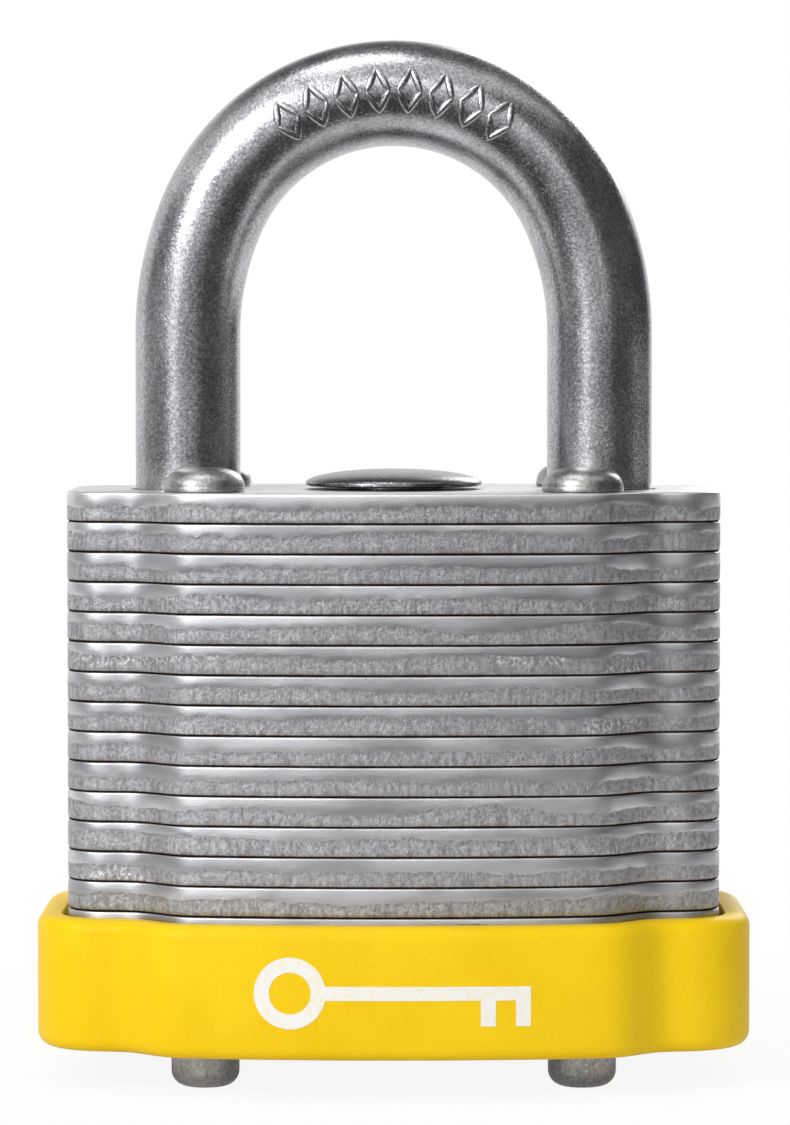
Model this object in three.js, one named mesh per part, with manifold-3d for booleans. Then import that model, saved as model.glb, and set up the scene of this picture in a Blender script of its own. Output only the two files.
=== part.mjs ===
// A laminated steel padlock: a riveted stack of punched plates, a hardened shackle held by two
// sliding bolts, a five-pin cylinder and a moulded plastic bumper round the foot.
// Millimetres. +Z is up, -Y is the front, and the origin is under the centre of the body, at the
// foot of the rivet tails that it stands on. It is drawn closed but unlocked: the bolts are drawn
// back, so the shackle can lift, and turning the plug a quarter turn sends them into the notches.

import * as THREE from "three";
import { mergeVertices } from "three/addons/utils/BufferGeometryUtils.js";
import Module from "manifold-3d";

const wasm = await Module();
wasm.setup();

// ---------------------------------------------------------------- driving dimensions

// Laminations, from the top down: guide plates, bolt chamber, cam plate, cylinder plates, foot.
const plateThickness = 1.8;
const plateGap = 0.02;
const footPlateThickness = 1.2;
const guidePlates = 3;
const chamberPlates = 2;
const cylinderPlates = 12;
const groovePlateFromFoot = 2;
const groovePlateInset = 0.9;

// Plan of a plate: a deep bowed middle, a shoulder each side, and shallower ends.
const bodyWidth = 40;
const centreDepth = 22;
const endDepth = 14.8;
const faceBow = 0.9;
const shoulderStart = 12.2;
const shoulderRun = 4;
const cornerRadius = 2.6;

// Rivets. The tails stand proud of the foot plate, and the padlock stands on them.
const rivetSpacingX = 23;
const rivetSpacingY = 12;
const rivetShankRadius = 1.85;
const rivetHoleClearance = 0.15;
const rivetHeadRadius = 2.56;
const rivetHeadHeight = 1.5;
const rivetTailRadius = 2.12;
const rivetTailHeight = 2.3;
const rivetTailFlat = 1.1;

// Domed cap that closes the middle of the top plate.
const capRadius = 5.5;
const capHeight = 1.25;
const capStemRadius = 3;
const capStemLength = 1.5;
const capStemGap = 0.2;

// Shackle. The bow is a crown arc that eases into the legs through two flatter side arcs.
const shackleRadius = 3.25;
const legSpacing = 25.5;
const shackleClearance = 21.3;
const crownEase = 0.55;
const crownDrop = 2.6;
const shackleTravel = 12;
const toeTipLength = 2.2;
const heelTipLength = 2.6;
const toeChamfer = 0.7;
const legBoreClearance = 0.3;

// Locking bolts. The heel bolt always reaches a little into the heel leg and so keeps it.
const boltTravel = 1.2;
const boltWidth = 8;
const boltNoseWidth = 4.6;
const boltNoseLength = 2.4;
const boltFaceX = 4.6;
const boltTailReach = 2.4;
const boltGapAbove = 0.3;
const boltGapBelow = 0.1;
const heelHold = 0.2;
const toeGap = 0.15;
const notchGap = 0.15;
const notchGapZ = 0.3;

// Cam and plug.
const plugTurn = Math.PI / 2;
const camBladeRadius = 0.5;
const camDiscRadius = 4.3;
const camDiscThickness = 1.4;
const camHoleGap = 0.55;
const camTongueWidth = 2;
const camTongueLength = 6;
const camTongueDepth = 1.5;
const plugRadius = 4.5;
const plugRunningGap = 0.1;
const plugFlangeRadius = 5.2;
const plugFlangeHeight = 1.2;
const plugRecess = 0.3;
const clipThickness = 0.6;
const clipOuterRadius = 5.8;
const clipGrooveRadius = 3.7;

// Cylinder housing: a round barrel with a square ridge behind it for the pin chambers.
const barrelRadius = 6.3;
const ridgeHalfWidth = 2.7;
const ridgeReach = 8.3;
const housingGap = 0.3;
const seatGap = 0.05;
const coverThickness = 0.48;
const coverHalfWidth = 2.2;

// Pins.
const pinRadius = 1.2;
const pinHoleClearance = 0.15;
const pinSpacing = 3.4;
const firstPinHeight = 3.6;
const driverLength = 1.6;
const keyPinLengths = [2.6, 3, 2.2, 2.8, 2.4];
const pinHoleFoot = 0.3;
const pinSeat = 0.02;
const keyPinSetback = 0.1;

// Keyway, drawn with the pins' side up: width, foot, head, and the sideways step of each ward.
const keywayWidth = 1.5;
const keywayFoot = -3.9;
const keywayHead = 3.2;
const wardSteps = [0.35, -0.3, 0.2];

// Springs.
const shackleSpringRadius = 2.3;
const shackleSpringWire = 0.4;
const boltSpringRadius = 0.95;
const boltSpringWire = 0.18;
const pinSpringRadius = 0.8;
const pinSpringWire = 0.16;

// Bumper: a moulded ring with a rib that snaps into the groove left by one smaller plate.
const bumperGap = 0.3;
const bumperGrow = 1.9;
const bumperHeight = 8.05;
const bumperAboveFoot = 0.1;
const bumperEdge = 0.8;
const bumperRibGap = 0.15;
const bumperRibReach = 0.35;

// Facets.
const roundSides = 20;
const boreSides = 12;
const smallSides = 10;
const shackleSides = 16;
const shackleSteps = 40;

// ---------------------------------------------------------------- derived places

const plateCount = guidePlates + chamberPlates + 1 + cylinderPlates + 1;
const footPlate = plateCount - 1;
const pitch = plateThickness + plateGap;
const footZ = rivetTailHeight;
const bodyTop = footZ + footPlateThickness + (plateCount - 1) * pitch;
const plateTopZ = (index) => bodyTop - index * pitch;
const plateFootZ = (index) => (index === footPlate ? footZ : plateTopZ(index) - plateThickness);
const camPlate = guidePlates + chamberPlates;
const firstCylinderPlate = camPlate + 1;
const groovePlate = footPlate - groovePlateFromFoot;

const legX = legSpacing / 2;
const legBoreRadius = shackleRadius + legBoreClearance;
const legInnerX = legX - shackleRadius;

const boltTop = plateFootZ(guidePlates - 1) - boltGapAbove;
const boltFoot = plateTopZ(camPlate) + boltGapBelow;
const toeEndZ = boltFoot - notchGapZ - toeTipLength;
const ringTop = boltTop + notchGapZ - shackleTravel;
const ringFoot = boltFoot - notchGapZ - shackleTravel;
const heelEndZ = ringFoot - heelTipLength;
const toeReach = legInnerX - toeGap;
const heelReach = legInnerX + heelHold;
const toeNotchDepth = boltTravel - toeGap + notchGap;
const heelNotchDepth = boltTravel + heelHold + notchGap;
const heelFlatDepth = heelHold + notchGap;

const bladeReach = boltTravel / (2 * Math.sin(plugTurn / 2));
const bladeSlotX = boltTravel / 2;

const cavityTop = plateTopZ(firstCylinderPlate);
const cavityFoot = plateTopZ(footPlate);
const clipGap = 0.1;
const housingTop = cavityTop - clipThickness - 0.7;
const housingFoot = cavityFoot + seatGap;
const plugFoot = footZ + plugRecess;
const camDiscTop = plateTopZ(camPlate) - 0.1;
const camDiscFoot = camDiscTop - camDiscThickness;
const plugTop = camDiscFoot - 0.1;
const pinZ = keyPinLengths.map((_, i) => housingFoot + firstPinHeight + i * pinSpacing);
const driverFoot = plugRadius + plugRunningGap + pinSeat;

// ---------------------------------------------------------------- solids

function solid(geometry) {
  const g = geometry.clone();
  g.deleteAttribute("normal");
  g.deleteAttribute("uv");
  const merged = mergeVertices(g, 1e-4);
  const all = merged.index.array;
  const kept = [];
  for (let i = 0; i < all.length; i += 3) {
    const [a, b, c] = [all[i], all[i + 1], all[i + 2]];
    if (a !== b && b !== c && a !== c) kept.push(a, b, c);
  }
  const mesh = new wasm.Mesh({
    numProp: 3,
    vertProperties: merged.attributes.position.array,
    triVerts: new Uint32Array(kept),
  });
  return new wasm.Manifold(mesh);
}

function geometryOf(made) {
  const mesh = made.getMesh();
  const g = new THREE.BufferGeometry();
  g.setAttribute("position", new THREE.BufferAttribute(new Float32Array(mesh.vertProperties), 3));
  g.setIndex(new THREE.BufferAttribute(new Uint32Array(mesh.triVerts), 1));
  g.computeVertexNormals();
  return g;
}

const joined = (solids) => solids.reduce((whole, piece) => whole.add(piece));

// An upright cylinder between two heights.
function post(radius, foot, top, x = 0, y = 0, sides = roundSides) {
  const g = new THREE.CylinderGeometry(radius, radius, top - foot, sides);
  g.rotateX(Math.PI / 2).translate(x, y, (foot + top) / 2);
  return solid(g);
}

// A cylinder along +X or +Y, from one distance to another.
function rod(axis, radius, from, to, a, z, sides = smallSides) {
  const g = new THREE.CylinderGeometry(radius, radius, to - from, sides);
  const middle = (from + to) / 2;
  if (axis === "x") g.rotateZ(-Math.PI / 2).translate(middle, a, z);
  else g.translate(a, middle, z);
  return solid(g);
}

function block(x0, x1, y0, y1, z0, z1) {
  const g = new THREE.BoxGeometry(x1 - x0, y1 - y0, z1 - z0);
  g.translate((x0 + x1) / 2, (y0 + y1) / 2, (z0 + z1) / 2);
  return solid(g);
}

function prism(points, foot, top) {
  const shape = new THREE.Shape(points.map(([x, y]) => new THREE.Vector2(x, y)));
  const g = new THREE.ExtrudeGeometry(shape, { depth: top - foot, bevelEnabled: false });
  return solid(g.translate(0, 0, foot));
}

// A turned piece: the profile is a list of [radius, height] from the foot up, on the axis at both
// ends.
function turned(profile, x, y, sides = roundSides) {
  const points = profile.map(([r, z]) => new THREE.Vector2(r, z));
  const g = new THREE.LatheGeometry(points, sides);
  return solid(g.rotateX(Math.PI / 2).translate(x, y, 0));
}

// Points of an arc about (cx, cy), both ends included.
function arc(cx, cy, radius, from, to, steps) {
  return Array.from({ length: steps + 1 }, (_, i) => {
    const angle = from + ((to - from) * i) / steps;
    return [cx + radius * Math.cos(angle), cy + radius * Math.sin(angle)];
  });
}

// A coil spring along +Z from its foot at the origin, with ground-flat looking dead ends.
class Coil extends THREE.Curve {
  constructor(radius, length, turns) {
    super();
    Object.assign(this, { radius, length, turns });
  }
  getPoint(t, target = new THREE.Vector3()) {
    const angle = 2 * Math.PI * this.turns * t;
    const along = this.length * t;
    return target.set(this.radius * Math.cos(angle), this.radius * Math.sin(angle), along);
  }
}

function spring(radius, wire, length, turns, stepsPerTurn, sides) {
  const section = new THREE.Shape(
    arc(0, 0, wire, 0, (2 * Math.PI * (sides - 1)) / sides, sides - 1).map(
      ([x, y]) => new THREE.Vector2(x, y),
    ),
  );
  const path = new Coil(radius, length - 2 * wire, turns);
  const steps = Math.round(turns * stepsPerTurn);
  const g = new THREE.ExtrudeGeometry(section, { steps, extrudePath: path, bevelEnabled: false });
  return g.translate(0, 0, wire);
}

// ---------------------------------------------------------------- plan of the body

// Outline of the body, grown outwards by a distance: one quarter, then its mirror images.
function planOutline(grow = 0) {
  const halfWidth = bodyWidth / 2 + grow;
  const middle = centreDepth / 2 + grow;
  const end = endDepth / 2 + grow;
  const corner = cornerRadius + grow;
  const shoulderShift = 0.43 * grow;
  const start = shoulderStart + shoulderShift;
  const shoulder = middle - faceBow;
  const quarter = [];
  for (const share of [0.5, 1]) {
    quarter.push([start * share, middle - faceBow * share * share]);
  }
  for (const share of [0.25, 0.5, 0.75, 1]) {
    const fall = (1 - Math.cos(Math.PI * share)) / 2;
    quarter.push([start + shoulderRun * share, shoulder + (end - shoulder) * fall]);
  }
  quarter.push(...arc(halfWidth - corner, end - corner, corner, Math.PI / 2, 0, 3));
  const right = [[0, middle], ...quarter];
  const lower = quarter.map(([x, y]) => [x, -y]).reverse();
  const left = quarter.map(([x, y]) => [-x, -y]);
  const upper = quarter.map(([x, y]) => [-x, y]).reverse();
  return [...right, ...lower, [0, -middle], ...left, ...upper].reverse();
}

// A closed ring lofted through outlines: each section is [grow, height], in order round the wall.
function loftedRing(sections) {
  const rings = sections.map(([grow, z]) => planOutline(grow).map(([x, y]) => [x, y, z]));
  const around = rings[0].length;
  const positions = rings.flat(2);
  const faces = [];
  rings.forEach((_, k) => {
    const next = (k + 1) % rings.length;
    for (let i = 0; i < around; i++) {
      const j = (i + 1) % around;
      const [a, b] = [k * around + i, k * around + j];
      const [c, d] = [next * around + j, next * around + i];
      faces.push(a, b, c, a, c, d);
    }
  });
  const g = new THREE.BufferGeometry();
  g.setAttribute("position", new THREE.BufferAttribute(new Float32Array(positions), 3));
  g.setIndex(faces);
  return g;
}

// ---------------------------------------------------------------- laminations

const rivetPlaces = [-1, 1].flatMap((sx) =>
  [-1, 1].map((sy) => [(sx * rivetSpacingX) / 2, (sy * rivetSpacingY) / 2]),
);

function plateBlank(index, grow = 0) {
  const blank = prism(planOutline(grow), plateFootZ(index), plateTopZ(index));
  const over = 1;
  const radius = rivetShankRadius + rivetHoleClearance;
  const holes = rivetPlaces.map(([x, y]) =>
    post(radius, plateFootZ(index) - over, plateTopZ(index) + over, x, y, smallSides),
  );
  return blank.subtract(joined(holes));
}

function throughPlate(index, radius, x, sides = boreSides) {
  return post(radius, plateFootZ(index) - 1, plateTopZ(index) + 1, x, 0, sides);
}

function guidePlate(index) {
  const bores = [-legX, legX].map((x) => throughPlate(index, legBoreRadius, x));
  const plate = plateBlank(index).subtract(joined(bores));
  if (index > 0) return plate;
  return plate.subtract(throughPlate(index, capStemRadius + capStemGap, 0));
}

// The bolts slide in a wide slot that opens into both leg bores through narrower channels.
function chamberPlate(index) {
  const [foot, top] = [plateFootZ(index) - 1, plateTopZ(index) + 1];
  const halfSlot = boltWidth / 2 + 0.3;
  const halfChannel = boltNoseWidth / 2 + 0.3;
  const slotEnd = legX - legBoreRadius;
  const slot = block(-slotEnd, slotEnd, -halfSlot, halfSlot, foot, top);
  const channel = block(-legX + 1, legX - 1, -halfChannel, halfChannel, foot, top);
  const bores = [-legX, legX].map((x) => throughPlate(index, legBoreRadius, x));
  return plateBlank(index).subtract(joined([slot, channel, ...bores]));
}

function camCarrierPlate(index) {
  const bores = [-legX, legX].map((x) => throughPlate(index, legBoreRadius, x));
  const hole = throughPlate(index, camDiscRadius + camHoleGap, 0);
  return plateBlank(index).subtract(joined([hole, ...bores]));
}

// The cylinder lies in a round hole with a square bay behind it. The heel leg's bore runs all the
// way down for its spring, and the toe leg's ends at the first plate below the toe.
function cylinderPlate(index) {
  const [foot, top] = [plateFootZ(index) - 1, plateTopZ(index) + 1];
  const hole = throughPlate(index, barrelRadius + housingGap, 0, roundSides);
  const halfBay = ridgeHalfWidth + housingGap;
  const bayEnd = ridgeReach + coverThickness + pinSeat + housingGap;
  const bay = block(-halfBay, halfBay, 0, bayEnd, foot, top);
  const cuts = [hole, bay, throughPlate(index, legBoreRadius, -legX)];
  if (plateTopZ(index) > toeEndZ - 0.1) cuts.push(throughPlate(index, legBoreRadius, legX));
  const grow = index === groovePlate ? -groovePlateInset : 0;
  return plateBlank(index, grow).subtract(joined(cuts));
}

function footPlateSolid(index) {
  return plateBlank(index).subtract(throughPlate(index, plugRadius + 0.35, 0, roundSides));
}

function plateSolid(index) {
  if (index < guidePlates) return guidePlate(index);
  if (index < camPlate) return chamberPlate(index);
  if (index === camPlate) return camCarrierPlate(index);
  if (index < footPlate) return cylinderPlate(index);
  return footPlateSolid(index);
}

function plateName(index) {
  if (index === 0) return "top_plate";
  if (index < guidePlates) return `guide_plate_${index}`;
  if (index < camPlate) return `bolt_chamber_plate_${index - guidePlates + 1}`;
  if (index === camPlate) return "cam_plate";
  if (index === groovePlate) return "bumper_groove_plate";
  if (index < footPlate) return `cylinder_plate_${index - camPlate}`;
  return "foot_plate";
}

// ---------------------------------------------------------------- fasteners and cap

function rivet(x, y) {
  const headZ = bodyTop + plateGap;
  const tailZ = footZ - plateGap;
  const headEdge = rivetHeadHeight * 0.3;
  return turned(
    [
      [0, 0],
      [rivetTailFlat, 0],
      [rivetTailRadius * 0.8, rivetTailHeight * 0.14],
      [rivetTailRadius, rivetTailHeight * 0.45],
      [rivetTailRadius, tailZ],
      [rivetShankRadius, tailZ],
      [rivetShankRadius, headZ],
      [rivetHeadRadius * 0.94, headZ],
      [rivetHeadRadius, headZ + headEdge],
      [rivetHeadRadius * 0.84, headZ + rivetHeadHeight * 0.72],
      [rivetHeadRadius * 0.45, headZ + rivetHeadHeight * 0.96],
      [0, headZ + rivetHeadHeight],
    ],
    x,
    y,
    smallSides,
  );
}

function capSolid() {
  const seat = bodyTop + plateGap;
  return turned(
    [
      [0, bodyTop - capStemLength],
      [capStemRadius, bodyTop - capStemLength],
      [capStemRadius, seat],
      [capRadius * 0.97, seat],
      [capRadius, seat + capHeight * 0.22],
      [capRadius * 0.9, seat + capHeight * 0.6],
      [capRadius * 0.62, seat + capHeight * 0.9],
      [0, seat + capHeight],
    ],
    0,
    0,
    24,
  );
}

// ---------------------------------------------------------------- shackle

// Centreline of the shackle from the end of the heel leg, over the bow, to the end of the toe leg.
function shacklePath() {
  const crownRadius = legX - crownEase;
  const crownTopZ = bodyTop + shackleClearance + shackleRadius;
  const crownZ = crownTopZ - crownRadius;
  const straightTop = crownZ - crownDrop;
  const squares = legX ** 2 + crownDrop ** 2 - crownRadius ** 2;
  const sideRadius = squares / (2 * crownEase);
  const sideX = legX - sideRadius;
  const turn = Math.atan2(crownZ - straightTop, -sideX);
  const onXZ = ([x, z]) => new THREE.Vector3(x, 0, z);
  const side = arc(sideX, straightTop, sideRadius, 0, turn, 10);
  const crown = arc(0, crownZ, crownRadius, turn, Math.PI / 2, 14);
  const right = [...side, ...crown.slice(1)].map(onXZ);
  const left = right.slice(0, -1).map((p) => new THREE.Vector3(-p.x, 0, p.z));
  const bow = [...left, ...right.reverse()];
  const path = new THREE.CurvePath();
  const ends = [onXZ([-legX, heelEndZ]), ...bow, onXZ([legX, toeEndZ])];
  for (let i = 1; i < ends.length; i++) path.add(new THREE.LineCurve3(ends[i - 1], ends[i]));
  return path;
}

// A bevelled collar that leaves a cone on the end of a leg once it is cut away.
function endBevel(x, endZ) {
  const outer = shackleRadius + 1;
  const collar = post(outer, endZ - 1, endZ + toeChamfer, x, 0, shackleSides);
  const cone = turned(
    [
      [0, endZ - 2],
      [shackleRadius - toeChamfer - 2, endZ - 2],
      [shackleRadius + 0.02, endZ + toeChamfer + 0.02],
      [0, endZ + toeChamfer + 0.02],
    ],
    x,
    0,
    shackleSides,
  );
  return collar.subtract(cone);
}

// A cut across the side of a leg that faces the bolts, to a depth from the leg's surface.
function legCut(side, depth, foot, top) {
  const inner = side * (legInnerX - 1);
  const far = side * (legInnerX + depth);
  return block(Math.min(inner, far), Math.max(inner, far), -4, 4, foot, top);
}

function shackleSolid() {
  const turnStep = (2 * Math.PI) / shackleSides;
  const section = new THREE.Shape(
    arc(0, 0, shackleRadius, 0, 2 * Math.PI - turnStep, shackleSides - 1).map(
      ([x, y]) => new THREE.Vector2(x, y),
    ),
  );
  const options = { steps: shackleSteps, extrudePath: shacklePath(), bevelEnabled: false };
  const bar = solid(new THREE.ExtrudeGeometry(section, options));
  const [notchFoot, notchTop] = [boltFoot - notchGapZ, boltTop + notchGapZ];
  const ring = post(shackleRadius + 1, ringFoot, ringTop, -legX, 0, shackleSides).subtract(
    post(shackleRadius - heelNotchDepth, ringFoot - 1, ringTop + 1, -legX, 0, shackleSides),
  );
  const cuts = [
    legCut(1, toeNotchDepth, notchFoot, notchTop),
    legCut(-1, heelNotchDepth, notchFoot, notchTop),
    legCut(-1, heelFlatDepth, ringFoot, notchTop),
    ring,
    endBevel(legX, toeEndZ),
    endBevel(-legX, heelEndZ),
  ];
  return bar.subtract(joined(cuts));
}

// ---------------------------------------------------------------- bolts and cam

// One bolt, drawn with its nose towards +X and its tail reaching back past the plug's axis. The
// tail's slot takes one end of the cam's blade.
function boltSolid(reach) {
  const half = boltWidth / 2;
  const nose = boltNoseWidth / 2;
  const neck = reach - boltNoseLength;
  const lane = camBladeRadius + 0.3;
  const halfSlot = camBladeRadius + 0.3;
  const slotEnd = bladeReach + camBladeRadius + 0.3;
  const [slotFrom, slotTo] = [-bladeSlotX - halfSlot, -bladeSlotX + halfSlot];
  return prism(
    [
      [-boltTailReach, lane],
      [slotFrom, lane],
      [slotFrom, slotEnd],
      [slotTo, slotEnd],
      [slotTo, lane],
      [boltFaceX, lane],
      [boltFaceX, -half],
      [neck, -half],
      [neck, -nose],
      [reach - 0.4, -nose],
      [reach, -nose + 0.4],
      [reach, nose - 0.4],
      [reach - 0.4, nose],
      [neck, nose],
      [neck, half],
      [-boltTailReach, half],
    ],
    boltFoot,
    boltTop,
  );
}

// The blade is a bar with round ends. It is drawn in the unlocked position, half a turn of travel
// past the bolts' middle.
function camSolid() {
  const half = plugTurn / 2;
  const ends = [
    ...arc(0, bladeReach, camBladeRadius, 0, Math.PI, 4),
    ...arc(0, -bladeReach, camBladeRadius, Math.PI, 2 * Math.PI, 4),
  ];
  const c = Math.cos(half);
  const s = Math.sin(half);
  const blade = ends.map(([x, y]) => [x * c - y * s, x * s + y * c]);
  const bladeTop = boltTop - 0.2;
  const tongueFoot = camDiscFoot - camTongueDepth;
  const [w, l] = [camTongueWidth / 2, camTongueLength / 2];
  return joined([
    post(camDiscRadius, camDiscFoot, camDiscTop, 0, 0, boreSides),
    prism(blade, camDiscFoot + 0.5, bladeTop),
    block(-l, l, -w, w, tongueFoot, camDiscFoot + 0.5),
  ]);
}

// ---------------------------------------------------------------- cylinder

// The plug is turned a quarter turn from where the key goes in, so its pins' side faces -X.
const plugFrame = ([x, y]) => [-y, x];

function keywayPoints() {
  const rise = (keywayHead - keywayFoot) / wardSteps.length;
  const half = keywayWidth / 2;
  const rightSide = [];
  const leftSide = [];
  wardSteps.forEach((step, i) => {
    const [foot, head] = [keywayFoot + i * rise, keywayFoot + (i + 1) * rise];
    rightSide.push([step + half, foot], [step + half, head]);
    leftSide.push([step - half, foot], [step - half, head]);
  });
  return [...rightSide, ...leftSide.reverse()].map(plugFrame);
}

function plugSolid() {
  const flangeFoot = cavityFoot + 0.1;
  const clipFoot = housingTop + clipGap;
  const body = joined([
    post(plugRadius, plugFoot, plugTop),
    post(plugFlangeRadius, flangeFoot, flangeFoot + plugFlangeHeight),
  ]);
  const clipGroove = post(plugRadius + 1, clipFoot - 0.1, clipFoot + clipThickness + 0.1).subtract(
    post(clipGrooveRadius, clipFoot - 1, clipFoot + clipThickness + 1, 0, 0, boreSides),
  );
  const slotFoot = plugTop - camTongueDepth - 0.3;
  const halfSlot = camTongueWidth / 2 + 0.2;
  const tongueSlot = block(-plugRadius - 1, plugRadius + 1, -halfSlot, halfSlot, slotFoot, plugTop + 1);
  const holeRadius = pinRadius + pinHoleClearance;
  const pinHoles = pinZ.map((z) => rod("x", holeRadius, -plugRadius - 1, -pinHoleFoot, 0, z));
  const keyway = prism(keywayPoints(), plugFoot - 1, slotFoot + 0.5);
  return body.subtract(joined([clipGroove, tongueSlot, keyway, ...pinHoles]));
}

function housingSolid() {
  const body = joined([
    post(barrelRadius, housingFoot, housingTop),
    block(-ridgeHalfWidth, ridgeHalfWidth, 0, ridgeReach, housingFoot, housingTop),
  ]);
  const boreRadius = plugRadius + plugRunningGap;
  const flangeTop = cavityFoot + 0.1 + plugFlangeHeight + 0.15;
  const holeRadius = pinRadius + pinHoleClearance;
  const chambers = pinZ.map((z) => rod("y", holeRadius, 0, ridgeReach + 1, 0, z));
  const cuts = [
    post(boreRadius, housingFoot - 1, housingTop + 1),
    post(plugFlangeRadius + 0.15, housingFoot - 1, flangeTop),
    ...chambers,
  ];
  return body.subtract(joined(cuts));
}

// A spring clip: most of a ring, open on one side so that it can be pushed into its groove.
function clipSolid() {
  const foot = housingTop + clipGap;
  const gape = Math.PI / 5;
  const inner = clipGrooveRadius + 0.15;
  const outline = [
    ...arc(0, 0, clipOuterRadius, gape, 2 * Math.PI - gape, 16),
    ...arc(0, 0, inner, 2 * Math.PI - gape, gape, 16),
  ];
  return prism(outline, foot, foot + clipThickness);
}

function coverSolid() {
  const margin = pinRadius + 0.5;
  const from = ridgeReach + pinSeat;
  const [first, last] = [pinZ[0], pinZ[pinZ.length - 1]];
  const to = from + coverThickness;
  return block(-coverHalfWidth, coverHalfWidth, from, to, first - margin, last + margin);
}

// ---------------------------------------------------------------- bumper

function bumperGeometry() {
  const foot = footZ + bumperAboveFoot;
  const top = foot + bumperHeight;
  const ribFoot = plateFootZ(groovePlate) + bumperRibGap;
  const ribTop = plateTopZ(groovePlate) - bumperRibGap;
  const outerEdge = bumperGrow - bumperEdge;
  return loftedRing([
    [outerEdge, foot],
    [bumperGrow - bumperEdge * 0.3, foot + bumperEdge * 0.3],
    [bumperGrow, foot + bumperEdge],
    [bumperGrow, top - bumperEdge],
    [bumperGrow - bumperEdge * 0.3, top - bumperEdge * 0.3],
    [outerEdge, top],
    [bumperGap, top],
    [bumperGap, ribTop],
    [-bumperRibReach, ribTop],
    [-bumperRibReach, ribFoot],
    [bumperGap, ribFoot],
    [bumperGap, foot],
  ]);
}

// ---------------------------------------------------------------- materials

const metal = (color, roughness) =>
  new THREE.MeshStandardMaterial({ color, roughness, metalness: 1 });
const zincedSteel = metal(0x9a9b9f, 0.45);
const hardenedSteel = metal(0xa6a7ab, 0.28);
const rivetSteel = metal(0x98979a, 0.38);
const brass = metal(0xc9a45a, 0.35);
const springSteel = metal(0x8b8d90, 0.3);
const yellowPlastic = new THREE.MeshStandardMaterial({
  color: 0xf8d800,
  roughness: 0.45,
  metalness: 0,
});

// ---------------------------------------------------------------- assembly

const padlock = new THREE.Group();
padlock.name = "padlock";

function place(name, made, material) {
  const mesh = new THREE.Mesh(made.isBufferGeometry ? made : geometryOf(made), material);
  mesh.name = name;
  padlock.add(mesh);
  return mesh;
}

for (let index = 0; index < plateCount; index++) {
  place(plateName(index), plateSolid(index), zincedSteel);
}

const rivetNames = ["rivet_front_left", "rivet_back_left", "rivet_front_right", "rivet_back_right"];
rivetPlaces.forEach(([x, y], i) => place(rivetNames[i], rivet(x, y), rivetSteel));
place("top_cap", capSolid(), rivetSteel);
place("bumper", bumperGeometry(), yellowPlastic);

place("shackle", shackleSolid(), hardenedSteel);
const shackleSpringFoot = plateTopZ(footPlate) + seatGap;
const shackleSpringLength = heelEndZ - shackleSpringFoot - 0.2;
const shackleCoil = spring(shackleSpringRadius, shackleSpringWire, shackleSpringLength, 6, 10, 5);
place("shackle_spring", shackleCoil, springSteel).position.set(-legX, 0, shackleSpringFoot);

place("bolt_toe", boltSolid(toeReach), brass);
place("bolt_heel", boltSolid(heelReach), brass).rotation.z = Math.PI;

// Each bolt spring lies between one bolt's tail and the other bolt's body.
const boltSpringLength = boltFaceX - boltTailReach - 0.2;
const boltSpringY = boltWidth / 4 + 0.4;
for (const [name, side] of [["bolt_spring_heel", -1], ["bolt_spring_toe", 1]]) {
  const coil = spring(boltSpringRadius, boltSpringWire, boltSpringLength, 3, 8, 4);
  const mesh = place(name, coil, springSteel);
  mesh.rotation.y = (side * Math.PI) / 2;
  mesh.position.set(side * (boltTailReach + 0.1), -side * boltSpringY, (boltFoot + boltTop) / 2);
}

place("cam", camSolid(), zincedSteel);
place("plug", plugSolid(), brass);
place("plug_clip", clipSolid(), springSteel);
place("cylinder_housing", housingSolid(), brass);
place("pin_cover", coverSolid(), brass);

const driverTop = driverFoot + driverLength;
const pinSpringLength = ridgeReach - driverTop - 0.1;
pinZ.forEach((z, i) => {
  const number = i + 1;
  const tip = plugRadius - keyPinSetback;
  const keyPin = rod("x", pinRadius, -tip, -tip + keyPinLengths[i], 0, z);
  place(`key_pin_${number}`, keyPin, brass);
  const driver = rod("y", pinRadius, driverFoot, driverTop, 0, z);
  place(`driver_pin_${number}`, driver, brass);
  const coil = spring(pinSpringRadius, pinSpringWire, pinSpringLength, 3, 7, 4);
  const mesh = place(`pin_spring_${number}`, coil, springSteel);
  mesh.rotation.x = -Math.PI / 2;
  mesh.position.set(0, driverTop + 0.05, z);
});

export default padlock;
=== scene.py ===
# %% [markdown]
# # A laminated padlock
#
# The padlock is a stack of punched steel plates held by four long rivets. A round shackle comes out
# of its top, and a moulded yellow bumper is snapped round its foot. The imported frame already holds
# every piece at its real size and place, and its joints. This lesson gives the pieces that show their
# fine shapes, and gives every piece its finish. Nothing is moved or resized: sizes and places are
# read from the boxes of the frame's nodes.

# %% Load the frame and keep its box
import math

import bmesh
import bpy
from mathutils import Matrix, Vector, noise


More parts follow.
